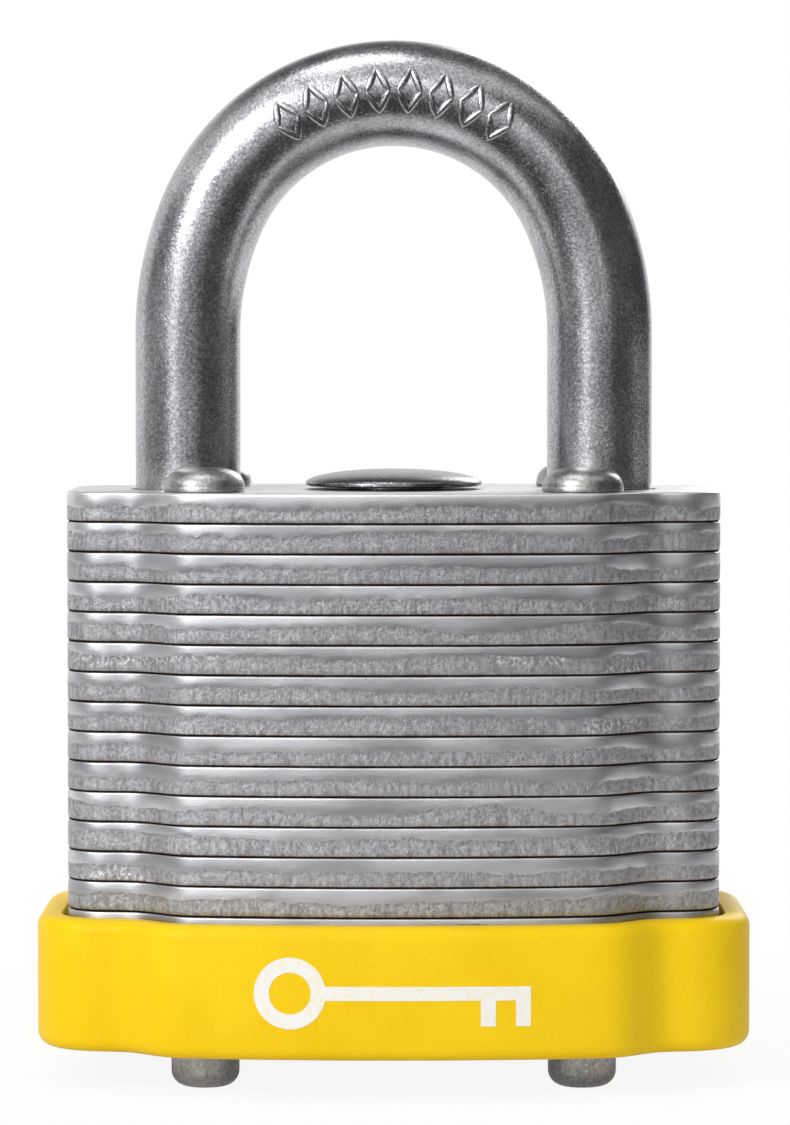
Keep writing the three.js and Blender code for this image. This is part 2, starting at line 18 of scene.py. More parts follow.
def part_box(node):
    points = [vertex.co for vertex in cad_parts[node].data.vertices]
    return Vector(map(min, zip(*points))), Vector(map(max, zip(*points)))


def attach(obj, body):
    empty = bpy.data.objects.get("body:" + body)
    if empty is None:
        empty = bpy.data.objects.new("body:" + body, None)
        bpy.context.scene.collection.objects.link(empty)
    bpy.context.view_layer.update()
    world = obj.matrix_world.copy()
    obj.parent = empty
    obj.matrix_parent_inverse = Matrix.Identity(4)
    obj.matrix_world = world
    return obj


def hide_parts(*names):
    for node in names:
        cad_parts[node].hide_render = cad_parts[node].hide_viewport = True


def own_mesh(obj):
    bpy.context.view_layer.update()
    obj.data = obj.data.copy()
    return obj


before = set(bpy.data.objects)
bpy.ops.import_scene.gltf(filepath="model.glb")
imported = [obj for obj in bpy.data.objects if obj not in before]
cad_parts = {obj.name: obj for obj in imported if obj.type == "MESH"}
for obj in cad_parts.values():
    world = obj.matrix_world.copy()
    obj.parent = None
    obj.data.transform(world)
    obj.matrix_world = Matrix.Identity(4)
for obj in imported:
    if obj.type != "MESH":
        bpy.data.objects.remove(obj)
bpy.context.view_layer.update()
MM = 0.001

# %% [markdown]
# ## The camera
#
# The padlock is seen from its front, from a little above its top plate, with a long lens, so that the
# plates' edges stay nearly parallel. The camera comes first, so that every look can be judged in it.

# %% Place the camera
CAMERA_DISTANCE = 290 * MM
CAMERA_ABOVE_TOP = 8.93 * MM
CAMERA_TILT = math.radians(2.668)
LENS_MM = 149.6
SENSOR_MM = 36

top_plate_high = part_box("top_plate")[1]
body_top = top_plate_high[2]

bpy.ops.object.select_all(action="DESELECT")
bpy.ops.object.camera_add(
    location=(0.08 * MM, -CAMERA_DISTANCE, body_top + CAMERA_ABOVE_TOP),
    rotation=(math.pi / 2 - CAMERA_TILT, 0, 0),
)
camera = bpy.context.object
camera.data.lens = LENS_MM
camera.data.sensor_width = SENSOR_MM
camera.data.clip_start = 10 * MM
bpy.context.scene.camera = camera
print("camera height in mm:", round(camera.location.z / MM, 2))

# %% [markdown]
# ## Ways of making a mesh
#
# Almost every piece here is a skin raised through rings of points: a circle is added, its points are
# put on the first ring, and then it is extruded once for every ring that follows. Holes are bored
# with the Boolean modifier, applied at once, as a drill would do it.


# %% Helpers for making meshes
def deselect():
    """Leaves nothing selected, so that the next operator acts on its own piece alone."""
    bpy.ops.object.select_all(action="DESELECT")


def only(piece):
    """Selects one piece and makes it active."""
    deselect()
    piece.select_set(True)
    bpy.context.view_layer.objects.active = piece


def face_outwards():
    """Turns all faces of the mesh in edit mode outwards, and leaves edit mode."""
    bpy.ops.mesh.select_all(action="SELECT")
    bpy.ops.mesh.normals_make_consistent(inside=False)
    bpy.ops.object.mode_set(mode="OBJECT")


def loft(name, rings, heights=None):
    """Raises a closed skin through rings that all have the same number of points."""
    deselect()
    bpy.ops.mesh.primitive_circle_add(
        vertices=len(rings[0]), radius=MM, fill_type="NGON", enter_editmode=True
    )
    piece = bpy.context.object
    piece.name = piece.data.name = name
    mesh = bmesh.from_edit_mesh(piece.data)
    order = mesh.verts.layers.int.new("order")
    mesh.verts.layers.float.new("height")
    cap = next(iter(mesh.faces))
    for index, corner in enumerate(cap.loops):
        corner.vert[order] = index
    for step, ring in enumerate(rings):
        if step:
            bpy.ops.mesh.extrude_region_move()
        mesh = bmesh.from_edit_mesh(piece.data)
        order = mesh.verts.layers.int["order"]
        share = mesh.verts.layers.float["height"]
        for vertex in mesh.verts:
            if vertex.select:
                vertex.co = ring[vertex[order]]
                vertex[share] = heights[step] if heights else 0.0
        bmesh.update_edit_mesh(piece.data)
    face_outwards()
    return piece


def apply_modifier(piece, kind, **settings):
    """Adds one modifier, sets it and applies it."""
    only(piece)
    modifier = piece.modifiers.new(kind.lower(), kind)
    for key, value in settings.items():
        setattr(modifier, key, value)
    bpy.ops.object.modifier_apply(modifier=modifier.name)


def cut(piece, cutters):
    """Takes each cutter out of a piece and throws the cutter away."""
    for cutter in cutters:
        apply_modifier(piece, "BOOLEAN", object=cutter, operation="DIFFERENCE", solver="MANIFOLD")
        mesh = cutter.data
        bpy.data.objects.remove(cutter)
        bpy.data.meshes.remove(mesh)


def smooth(piece, degrees=35):
    """Shades a piece smooth, apart from the edges that are sharper than an angle."""
    only(piece)
    bpy.ops.object.shade_smooth_by_angle(angle=math.radians(degrees))


def circle(radius, z, x=0.0, y=0.0, count=64):
    """A level ring of points."""
    turns = [2 * math.pi * i / count for i in range(count)]
    return [Vector((x + radius * math.cos(a), y + radius * math.sin(a), z)) for a in turns]


def turned(name, profile, x=0.0, y=0.0, count=64):
    """A turned piece: the profile is a list of radius and height, from the foot up."""
    return loft(name, [circle(r, z, x, y, count) for r, z in profile])


def drill(radius, foot, top, x=0.0, y=0.0, count=64):
    """A cutter for a round hole that stands upright."""
    return turned("drill", [(radius, foot), (radius, top)], x, y, count)


def slab(x0, x1, y0, y1, z0, z1):
    """A cutter with square sides."""
    deselect()
    bpy.ops.mesh.primitive_cube_add(size=1, location=((x0 + x1) / 2, (y0 + y1) / 2, (z0 + z1) / 2))
    block = bpy.context.object
    block.scale = (x1 - x0, y1 - y0, z1 - z0)
    bpy.ops.object.transform_apply(location=True, rotation=True, scale=True)
    return block


# %% [markdown]
# ## Shader maths as plain expressions
#
# A finish is easier to read as a sum than as a web of nodes. `Signal` wraps one output of a node, and
# adding or multiplying two of them adds the Math node that does it. `Finish` holds a material, and
# its `node` method adds every other kind of node.


# %% Wrap sockets and materials
class Signal:
    """One output of a shader node."""

    def __init__(self, finish, socket):
        self.finish = finish
        self.socket = socket

    def _with(self, operation, first, second):
        return self.finish.node("Math", {"operation": operation}, {0: first, 1: second})

    def __add__(self, other):
        return self._with("ADD", self, other)

    def __radd__(self, other):
        return self._with("ADD", other, self)

    def __sub__(self, other):
        return self._with("SUBTRACT", self, other)

    def __rsub__(self, other):
        return self._with("SUBTRACT", other, self)

    def __mul__(self, other):
        return self._with("MULTIPLY", self, other)

    def __rmul__(self, other):
        return self._with("MULTIPLY", other, self)


class Finish:
    """A material built round one Principled BSDF."""

    def __init__(self, name, **plain):
        self.material = bpy.data.materials.new(name)
        self.material.use_nodes = True
        self.tree = self.material.node_tree
        self.shader = self.tree.nodes["Principled BSDF"]
        for key, value in plain.items():
            self.shader.inputs[key.replace("_", " ").title()].default_value = value

    def node(self, kind, settings=None, inputs=None, output=0):
        """Adds a node, sets it, joins its inputs and returns one output."""
        added = self.tree.nodes.new("ShaderNode" + kind)
        for key, value in (settings or {}).items():
            setattr(added, key, value)
        for key, value in (inputs or {}).items():
            if isinstance(value, Signal):
                self.tree.links.new(value.socket, added.inputs[key])
            else:
                added.inputs[key].default_value = value
        return Signal(self, added.outputs[output])

    def place(self, stretch=(1, 1, 1)):
        """The point on the piece in millimetres, stretched along each axis."""
        point = self.node("TexCoord", output="Object")
        scale = tuple(s / MM for s in stretch)
        return self.node("Mapping", {}, {"Vector": point, "Scale": scale})

    def grain(self, scale, detail=3.0, stretch=(1, 1, 1), rough=0.5):
        """Soft noise from 0 to 1, with a number of waves to the millimetre."""
        inputs = {"Vector": self.place(stretch), "Scale": scale, "Detail": detail, "Roughness": rough}
        return self.node("TexNoise", {}, inputs)

    def between(self, signal, low, high, bottom=0.0, top=1.0):
        """A smooth step of a signal from one value to another."""
        inputs = {"Value": signal, 1: low, 2: high, 3: bottom, 4: top}
        return self.node("MapRange", {"interpolation_type": "SMOOTHSTEP"}, inputs)

    def blend(self, amount, first, second):
        """A mix of two colours."""
        colours = [(*c, 1) if isinstance(c, tuple) else c for c in (first, second)]
        inputs = {0: amount, 6: colours[0], 7: colours[1]}
        return self.node("Mix", {"data_type": "RGBA"}, inputs, output=2)

    def attribute(self, name):
        """A number that the mesh carries on each of its points."""
        return self.node("Attribute", {"attribute_name": name}, output="Fac")

    def feed(self, **signals):
        """Joins signals to the shader, a height as a bump."""
        for key, signal in signals.items():
            self.tree.links.new(signal.socket, self.shader.inputs[key.replace("_", " ").title()])

    def show(self, signal):
        """Shows a signal in place of the Principled BSDF."""
        self.tree.links.new(signal.socket, self.tree.nodes["Material Output"].inputs["Surface"])

    def relief(self, height, depth):
        """Turns a height from 0 to 1 into a bump of a real depth in metres."""
        self.feed(normal=self.node("Bump", {}, {"Height": height, "Strength": 1.0, "Distance": depth}))


# %% [markdown]
# ## Punched plate steel
#
# A punched edge has bands. The die first rolls the top edge over, then shears a smooth burnished
# land, and then the steel breaks and leaves a grey, grainy band that runs down in short streaks.
# Each plate carries its own height from 0 to 1 as an attribute, with 0.5 at the edge between land and
# break, so one finish can tell the bands apart. A little rust sits in the seams. Just under the land's
# edge, the top of the torn band is darkened in streaks as painted shade from the land's lip.


# %% Finish for the plates
def plate_finish():
    """Zinc-grey steel with the bands of a punched edge."""
    steel = Finish("punched steel", metallic=1.0)
    height = steel.attribute("height")
    ragged = height + 0.10 * (steel.grain(3.6, 3.0, (1, 1, 0.12), 0.65) - 0.5)
    broken = 1 - steel.between(ragged, 0.47, 0.53)
    streak = steel.grain(3.4, 3.0, (1, 1, 0.22), 0.65)
    crumb = steel.grain(5.0, 4.0, (1, 1, 0.8), 0.72)
    cloud = steel.grain(0.16, 3.0, (1, 1, 3.0))
    tone = steel.node("TexWhiteNoise", {"noise_dimensions": "1D"}, {"W": steel.attribute("seed")})
    land = steel.blend(steel.between(cloud, 0.32, 0.68), (0.43, 0.432, 0.448), (0.74, 0.743, 0.765))
    mottled = steel.between(0.6 * crumb + 0.4 * streak, 0.36, 0.64)
    torn = steel.blend(mottled, (0.27, 0.27, 0.285), (0.60, 0.60, 0.618))
    colour = steel.blend(broken, land, torn)
    colour = steel.blend(0.32 * tone, colour, (0.38, 0.38, 0.395))
    # Painted shade: dark streaks at the top of the torn band, just under the land's edge, for the lip's
    # shadow.
    under = broken * (1 - steel.between(height, 0.30, 0.44)) + (1 - broken)
    shade_under_land = steel.between(streak, 0.52, 0.62) * (1 - under)
    colour = steel.blend(0.45 * shade_under_land, colour, (0.14, 0.14, 0.145))
    scar = steel.between(steel.grain(0.11, 2.0, (1, 1, 4.0)), 0.63, 0.70) * steel.between(crumb, 0.50, 0.60)
    colour = steel.blend(0.7 * scar * broken, colour, (0.86, 0.86, 0.87))
    fringe = (1 - steel.between(height, 0.04, 0.10)) + steel.between(height, 0.93, 0.965)
    rust = steel.between(steel.grain(0.8, 3.0), 0.42, 0.62) * fringe
    colour = steel.blend(0.5 * rust, colour, (0.32, 0.14, 0.055))
    seam = (1 - steel.between(height, 0.035, 0.065)) + steel.between(height, 0.965, 0.985)
    inside = steel.attribute("edge")
    edge = seam * inside
    colour = steel.blend(0.55 - 0.55 * inside, colour, (0.84, 0.84, 0.85))
    steel.feed(base_color=steel.blend(0.96 * edge, colour, (0.022, 0.012, 0.008)))
    scuffs = steel.grain(3.2, 4.0, (1, 1, 6.0), 0.6)
    steel.feed(roughness=0.36 + 0.12 * scuffs + 0.12 * broken + 0.30 * edge)
    rough_height = broken * (0.65 * crumb + 0.35 * streak) + (1 - broken) * (0.45 + 0.10 * scuffs)
    steel.relief(rough_height, 0.075 * MM)
    return steel.material


PLATE_STEEL = plate_finish()
print("made", PLATE_STEEL.name)

# %% [markdown]
# ## Plated steel for the shackle, rivets and cap
#
# The shackle is a hardened bar with a thin zinc plating: bright, a little cloudy and full of fine
# sparkle. The rivets are the same metal, softer and warmer where they were hammered. One function
# makes all of them from how bright, how rough and how coarse each one is.


# %% Finishes for plated steel
def plated_finish(name, dull, bright, gloss, coarse, depth):
    """Plated steel with a fine sparkle over soft clouds."""
    steel = Finish(name, metallic=1.0)
    grit = steel.grain(5.0 * coarse, 4.0, rough=0.7)
    fleck = steel.between(steel.grain(8.0 * coarse, 2.0), 0.60, 0.70)
    pit = steel.between(steel.grain(6.5 * coarse, 2.0, (1, 1, 0.6)), 0.58, 0.68)
    cloud = steel.between(steel.grain(0.5 * coarse, 4.0, (1, 1, 0.5)), 0.34, 0.68)
    colour = steel.blend(0.35 * cloud + 0.65 * steel.between(grit, 0.34, 0.66), dull, bright)
    colour = steel.blend(0.40 * pit, colour, (0.10, 0.10, 0.115))
    steel.feed(base_color=steel.blend(0.45 * fleck, colour, (0.78, 0.78, 0.80)))
    steel.feed(roughness=gloss + 0.14 * grit + 0.05 * cloud)
    steel.relief(0.8 * grit + 0.2 * fleck, depth)
    return steel.material


SHACKLE_STEEL = plated_finish(
    "plated shackle steel", (0.27, 0.27, 0.285), (0.62, 0.62, 0.64), 0.13, 1.1, 0.015 * MM
)
RIVET_STEEL = plated_finish(
    "hammered rivet steel", (0.28, 0.275, 0.27), (0.48, 0.47, 0.46), 0.27, 0.7, 0.016 * MM
)
CAP_STEEL = plated_finish(
    "pressed cap steel", (0.12, 0.12, 0.13), (0.25, 0.25, 0.26), 0.15, 0.8, 0.012 * MM
)
print("made", SHACKLE_STEEL.name, RIVET_STEEL.name, CAP_STEEL.name)

# %% [markdown]
# ## Moulded plastic, ink, brass and wire
#
# The bumper is soft yellow plastic with the fine, even grain of its mould and a speckle of lighter
# pigment. The sign on it is printed in white ink. The cylinder and bolts are brass, and the springs
# are drawn wire.


# %% Finishes for plastic, ink, brass and wire
def plastic_finish():
    """Yellow moulded plastic."""
    plastic = Finish("yellow moulded plastic")
    plastic.shader.inputs["Specular IOR Level"].default_value = 0.12
    speckle = plastic.between(plastic.grain(5.5, 2.0), 0.58, 0.72)
    cloud = plastic.grain(0.16, 3.0)
    body = plastic.blend(plastic.between(cloud, 0.3, 0.7), (0.90, 0.585, 0.004), (0.94, 0.635, 0.008))
    plastic.feed(base_color=plastic.blend(0.30 * speckle, body, (0.98, 0.72, 0.07)))
    skin = plastic.grain(8.0, 3.0, rough=0.6)
    plastic.feed(roughness=0.36 + 0.12 * skin)
    plastic.relief(skin, 0.012 * MM)
    return plastic.material


def ink_finish():
    """White printing ink, a little thin in places."""
    ink = Finish("white printing ink")
    thin = ink.between(ink.grain(3.5, 4.0), 0.30, 0.55)
    ink.feed(base_color=ink.blend(thin, (0.90, 0.84, 0.62), (0.90, 0.89, 0.87)))
    ink.feed(roughness=0.42 + 0.15 * ink.grain(6.0))
    return ink.material


def brass_finish():
    """Machined brass with fine turning marks."""
    brass = Finish("machined brass", metallic=1.0)
    marks = brass.grain(1.2, 3.0, (1, 1, 14), 0.6)
    cloud = brass.between(brass.grain(0.5, 3.0), 0.3, 0.7)
    brass.feed(base_color=brass.blend(cloud, (0.60, 0.42, 0.17), (0.78, 0.60, 0.30)))
    brass.feed(roughness=0.22 + 0.16 * marks)
    brass.relief(marks, 0.008 * MM)
    return brass.material


def wire_finish():
    """Drawn spring wire with faint draw lines."""
    wire = Finish("drawn spring wire", metallic=1.0)
    lines = wire.grain(6.0, 3.0, (1, 1, 2.5))
    wire.feed(base_color=wire.blend(lines, (0.36, 0.36, 0.38), (0.62, 0.62, 0.64)))
    wire.feed(roughness=0.20 + 0.15 * lines)
    return wire.material


YELLOW_PLASTIC = plastic_finish()
WHITE_INK = ink_finish()
BRASS = brass_finish()
SPRING_WIRE = wire_finish()
print("made", YELLOW_PLASTIC.name, WHITE_INK.name, BRASS.name, SPRING_WIRE.name)

# %% [markdown]
# ## Dressing a finished piece
#
# A finished piece gets its material, rides on the body that it moves with, and stands for the plain
# nodes of the frame that it replaces.


# %% Helper that dresses a piece
def dress(piece, material, body, slot, *nodes):
    """Gives a piece its finish and its place in the assembly."""
    piece.data.materials.clear()
    piece.data.materials.append(material)
    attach(piece, body)
    if nodes:
        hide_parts(*nodes)


# %% [markdown]
# ## The plan of the body
#
# Seen from above, every plate has a deep bowed middle, a shoulder each side that falls in an S, and
# shallower ends with round corners. One function gives that outline at any distance outwards, with
# its points spaced evenly, so that plates and bumper share it and fit each other.

# %% Draw the plan of the body
HALF_WIDTH = top_plate_high[0]
HALF_DEPTH = top_plate_high[1]
FACE_BOW = 0.9 * MM
SHOULDER_START = 12.2 * MM
SHOULDER_RUN = 4.0 * MM
END_HALF_DEPTH = 7.4 * MM
CORNER_RADIUS = 2.6 * MM
SOFT_PASSES = 26


def quarter_plan(grow):
    """The quarter of the plan in +X and +Y, from the middle of the back to the end."""
    start = SHOULDER_START + 0.43 * grow
    middle, end = HALF_DEPTH + grow, END_HALF_DEPTH + grow
    corner = CORNER_RADIUS + grow
    shoulder = middle - FACE_BOW
    points = []
    for i in range(24):
        share = i / 24
        points.append((start * share, middle - FACE_BOW * share * share))
    for i in range(25):
        share = i / 24
        fall = (1 - math.cos(math.pi * share)) / 2
        points.append((start + SHOULDER_RUN * share, shoulder + (end - shoulder) * fall))
    for i in range(13):
        angle = math.pi / 2 * (1 - i / 12)
        x = HALF_WIDTH + grow - corner + corner * math.cos(angle)
        points.append((x, end - corner + corner * math.sin(angle)))
    return points


def even(points, count):
    """The same closed line with a number of points spaced evenly along it."""
    closed = points + points[:1]
    reach = [0.0]
    for a, b in zip(closed, closed[1:]):
        reach.append(reach[-1] + math.dist(a, b))
    spaced = []
    index = 0
    for i in range(count):
        goal = reach[-1] * i / count
        while reach[index + 1] < goal:
            index += 1
        share = (goal - reach[index]) / (reach[index + 1] - reach[index])
        a, b = closed[index], closed[index + 1]
        spaced.append((a[0] + (b[0] - a[0]) * share, a[1] + (b[1] - a[1]) * share))
    return spaced


def soften(line, passes):
    """The same closed line with its kinks eased, as a punch and a mould leave them."""
    for _ in range(passes):
        before, after = line[-1:] + line[:-1], line[1:] + line[:1]
        line = [((a[0] + 2 * b[0] + c[0]) / 4, (a[1] + 2 * b[1] + c[1]) / 4)
                for a, b, c in zip(before, line, after)]
    return line


def plan(grow, count):
    """The whole plan, anticlockwise from the middle of the right end."""
    quarter = quarter_plan(grow)
    back_right = quarter[::-1]
    back_left = [(-x, y) for x, y in quarter[1:]]
    front_left = [(x, -y) for x, y in back_left[::-1]]
    front_right = [(x, -y) for x, y in quarter[1:]]
    line = even(back_right + back_left + front_left + front_right, count)
    return soften(line, round(SOFT_PASSES * (count / 600) ** 2))


print("plan points:", len(plan(0.0, 600)))

# %% [markdown]
# ## The plates
#
# Nineteen plates make the body, and no two of them broke in quite the same place when they were
# punched. Each is raised through rings: the foot, the torn band, which lies a few hundredths of a
# millimetre further in and is uneven, the smooth land above it, and the rolled top edge. The line
# between the two bands wanders and has short teeth, from noise that differs from plate to plate.

# %% Shape one plate
PLAN_POINTS = 620
LAND_SHARE = 0.585
ROLL_HEIGHT = 0.15 * MM
ROLL_REACH = 0.17 * MM
BREAK_INSET = 0.014 * MM
LAND_LEAN = 0.026 * MM
TORN_ROWS = 5
SKIN = 0.01 * MM
INWARD = 0.5 * MM


def ripple(point, seed, waves):
    """Noise from about -1 to 1 that belongs to one plate."""
    return noise.noise(Vector((point[0] / MM * waves, point[1] / MM * waves, seed * 7.3)))


def plate_rows(foot, thick):
    """The rows of a punched edge: height share, height, inset and how far the row wanders."""
    land = foot + LAND_SHARE * thick
    top = foot + thick
    rows = [(0.0, foot, 0.13 * MM, 0.0), (0.03, foot + 0.04 * MM, 0.06 * MM, 0.0)]
    for i in range(1, TORN_ROWS + 1):
        share = i / (TORN_ROWS + 1)
        z = foot + 0.04 * MM + (land - foot - 0.09 * MM) * share
        rows.append((0.03 + 0.42 * share, z, BREAK_INSET, share))
    rows += [
        (0.47, land - 0.04 * MM, BREAK_INSET, 1.0),
        (0.53, land + 0.02 * MM, 0.0, 1.0),
        (0.70, (land + top - ROLL_HEIGHT) / 2, LAND_LEAN * 0.3, 0.5),
    ]
    for i in range(6):
        angle = math.pi / 2 * i / 5
        z = top - ROLL_HEIGHT * (1 - math.sin(angle))
        reach = LAND_LEAN + (ROLL_REACH - LAND_LEAN) * (1 - math.cos(angle))
        rows.append((0.88 + 0.12 * i / 5, z, reach, 0.0))
    return rows


def plate_blank(name, foot, thick, seed, shrink):
    """One plate before its holes are punched."""
    outline = plan(-shrink - SKIN, PLAN_POINTS)
    inner = plan(-shrink - SKIN - INWARD, PLAN_POINTS)
    inward = [((c - a) / INWARD, (d - b) / INWARD) for (a, b), (c, d) in zip(outline, inner)]
    drift = 0.26 * MM * noise.noise(Vector((seed * 3.1, 0.5, 0.5)))
    spread = thick / (1.8 * MM)
    rings, heights = [], []
    for share, z, inset, wander in plate_rows(foot, thick):
        torn = 0.03 < share < 0.5
        ring = []
        for (x, y), (ix, iy) in zip(outline, inward):
            edge = 0.42 * MM * ripple((x, y), seed, 0.16) + 0.16 * MM * ripple((x, y), seed + 31, 0.6)
            tooth = 0.10 * MM * ripple((x, y), seed + 57, 2.2)
            rise = wander * spread * (edge + tooth + drift)
            rough = 0.022 * MM * ripple((x, y), seed + 90 + share * 40, 1.9) if torn else 0.0
            depth = inset + rough
            ring.append(Vector((x + ix * depth, y + iy * depth, z + rise)))
        rings.append(ring)
        heights.append(share)
    return loft(name, rings, heights)


# %% [markdown]
# The holes depend on what the plate is for. The leg bores run through the upper plates. Below them
# are the slot that the bolts slide in, the hole for the cam, and the bay that the cylinder lies in,
# which has a square part behind it for the pin chambers.

# %% Punch the holes that each plate needs
shackle_low, shackle_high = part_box("shackle")
BAR_RADIUS = shackle_high[1]
LEG_X = shackle_high[0] - BAR_RADIUS
BORE_RADIUS = BAR_RADIUS + 0.3 * MM
RIVET_X = 11.5 * MM
RIVET_Y = 6.0 * MM
RIVET_HOLE = 2.0 * MM
OVER = 1.0 * MM
CAP_HOLE = 3.2 * MM
BOLT_ROOM = 0.3 * MM
BOLT_NOSE_HALF = 2.6 * MM
CAM_ROOM = 0.55 * MM
CYLINDER_ROOM = 0.3 * MM
PIN_BAY_HALF = 3.0 * MM
PLUG_HOLE = 4.85 * MM

plate_names = sorted(
    (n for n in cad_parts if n.endswith("plate") or "_plate_" in n),
    key=lambda n: -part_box(n)[0][2],
)
GUIDES = 3
CHAMBERS = 2
CAM_PLATE = GUIDES + CHAMBERS
FOOT_PLATE = len(plate_names) - 1
housing_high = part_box("cylinder_housing")[1]
cover_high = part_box("pin_cover")[1]
bolt_low, bolt_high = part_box("bolt_toe")
cam_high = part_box("cam")[1]
NOTCH_GAP = 0.3 * MM
TOE_TIP = 2.2 * MM
toe_end = bolt_low[2] - NOTCH_GAP - TOE_TIP


def plate_holes(index, low, high):
    """The cutters for one plate, counted from the top."""
    foot, top = low - OVER, high + OVER
    holes = [drill(RIVET_HOLE, foot, top, sx * RIVET_X, sy * RIVET_Y, 40)
             for sx in (-1, 1) for sy in (-1, 1)]
    if index < FOOT_PLATE:
        holes.append(drill(BORE_RADIUS, foot, top, -LEG_X))
    if high > toe_end - 0.1 * MM:
        holes.append(drill(BORE_RADIUS, foot, top, LEG_X))
    if index == 0:
        holes.append(drill(CAP_HOLE, foot, top))
    elif GUIDES <= index < CAM_PLATE:
        half = bolt_high[1] + BOLT_ROOM
        end = LEG_X - BORE_RADIUS
        holes.append(slab(-end, end, -half, half, foot, top))
        reach = LEG_X - OVER
        holes.append(slab(-reach, reach, -BOLT_NOSE_HALF, BOLT_NOSE_HALF, foot, top))
    elif index == CAM_PLATE:
        holes.append(drill(cam_high[0] + CAM_ROOM, foot, top))
    elif CAM_PLATE < index < FOOT_PLATE:
        holes.append(drill(housing_high[0] + CYLINDER_ROOM, foot, top))
        back = cover_high[1] + CYLINDER_ROOM
        holes.append(slab(-PIN_BAY_HALF, PIN_BAY_HALF, 0, back, foot, top))
    elif index == FOOT_PLATE:
        holes.append(drill(PLUG_HOLE, foot, top))
    return holes


def add_numbers(piece, name, numbers):
    """Gives every point of a plate its number."""
    layer = piece.data.attributes.new(name, "FLOAT", "POINT")
    layer.data.foreach_set("value", numbers)


def level_faces(piece, foot, top):
    """Gives the rims of the holes the same height share as the flat face that they are cut in."""
    share = piece.data.attributes["height"]
    for vertex, point in zip(piece.data.vertices, share.data):
        if vertex.co.z > top - SKIN:
            point.value = 1.0
        elif vertex.co.z < foot + SKIN:
            point.value = 0.0


def seam_marks(piece, top, open_top):
    """Marks with 1 the points that can lie in a seam, which an open top face can't."""
    brow = top - ROLL_HEIGHT - SKIN
    return [0.0 if open_top and v.co.z > brow else 1.0 for v in piece.data.vertices]


for index, node in enumerate(plate_names):
    low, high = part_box(node)
    shrink = HALF_WIDTH - high[0]
    plate = plate_blank("fine_" + node, low[2], high[2] - low[2], index + 1, shrink)
    cut(plate, plate_holes(index, low[2], high[2]))
    level_faces(plate, low[2], high[2])
    add_numbers(plate, "seed", [index + 1.0] * len(plate.data.vertices))
    add_numbers(plate, "edge", seam_marks(plate, high[2], index == 0))
    smooth(plate, 40)
    dress(plate, PLATE_STEEL, "body", "plate_steel", node)
print("plates:", len(plate_names), "triangles in the last:", len(plate.data.polygons))

# %% [markdown]
# ## The rivets
#
# Each rivet runs through the whole stack. Its head is a low dome with a small flat rim, and its tail
# is a short drum with a rounded end. It is modelled once, at the front left, and copied to the other
# three holes.

# %% Turn one rivet and copy it
rivet_low, rivet_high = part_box("rivet_front_left")
foot_low, foot_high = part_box("foot_plate")
HEAD_RADIUS = 2.5 * MM
SHANK_RADIUS = 1.85 * MM
TAIL_RADIUS = 2.08 * MM
head_height = rivet_high[2] - body_top
tail_height = foot_low[2] - rivet_low[2]


def dome(radius, foot, height, steps, flat=0.0, fullness=1.0):
    """A profile that rises from a rim to the middle: under 1, its sides stand up more."""
    profile = []
    for i in range(steps + 1):
        angle = math.pi / 2 * i / steps
        out = radius * max(math.cos(angle), 0.0) ** fullness
        profile.append((max(out, flat), foot + height * math.sin(angle)))
    return profile


def rivet_profile():
    """The rivet from its tail up to the middle of its head."""
    seat = body_top + 0.02 * MM
    tail = foot_low[2] - 0.02 * MM
    curve = []
    for i in range(9):
        angle = math.pi / 2 * i / 8
        r = 1.1 * MM + (TAIL_RADIUS - 1.1 * MM) * math.sin(angle)
        curve.append((r, rivet_low[2] + 0.42 * tail_height * (1 - math.cos(angle))))
    shank = [(TAIL_RADIUS, tail), (SHANK_RADIUS, tail), (SHANK_RADIUS, seat)]
    rim = [(HEAD_RADIUS - 0.08 * MM, seat), (HEAD_RADIUS, seat + 0.08 * MM)]
    rim.append((HEAD_RADIUS, seat + 0.22 * MM))
    crown = dome(HEAD_RADIUS - 0.03 * MM, seat + 0.26 * MM, head_height - 0.30 * MM, 16, 0.1 * MM, 0.62)
    return curve + shank + rim + crown


rivet = turned("fine_rivet_front_left", rivet_profile(), -RIVET_X, -RIVET_Y, 72)
smooth(rivet, 50)
for side, depth, name in ((1, -1, "front_right"), (-1, 1, "back_left"), (1, 1, "back_right")):
    copy = rivet.copy()
    copy.data = rivet.data.copy()
    copy.name = copy.data.name = "fine_rivet_" + name
    bpy.context.collection.objects.link(copy)
    shift = Vector(((side + 1) * RIVET_X, (depth + 1) * RIVET_Y, 0))
    for vertex in copy.data.vertices:
        vertex.co += shift
    dress(copy, RIVET_STEEL, "body", "rivet_steel", "rivet_" + name)
dress(rivet, RIVET_STEEL, "body", "rivet_steel", "rivet_front_left")
print("rivets: 4, head height in mm:", round(head_height / MM, 2))

# %% [markdown]
# ## The cap
#
# A shallow domed cap closes the middle of the top plate. Its rim stands up a little, so that it
# throws a thin shadow.

# %% Turn the cap
cap_low, cap_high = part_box("top_cap")
CAP_RADIUS = cap_high[0]
STEM_RADIUS = 3.0 * MM


def cap_profile():
    """The cap from its stem up to the middle of its dome."""
    seat = body_top + 0.03 * MM
    stem = [(STEM_RADIUS - 0.1 * MM, cap_low[2]), (STEM_RADIUS, cap_low[2] + 0.1 * MM)]
    stem.append((STEM_RADIUS, seat + 0.16 * MM))
    rim = [(CAP_RADIUS - 0.25 * MM, seat + 0.16 * MM), (CAP_RADIUS - 0.02 * MM, seat + 0.24 * MM)]
    crown = dome(CAP_RADIUS - 0.02 * MM, seat + 0.34 * MM, cap_high[2] - seat - 0.36 * MM, 16, 0.2 * MM)
    return stem + rim + crown


cap = turned("fine_top_cap", cap_profile(), count=96)
smooth(cap, 50)
dress(cap, CAP_STEEL, "body", "cap_steel", "top_cap")
print("cap radius in mm:", round(CAP_RADIUS / MM, 2))

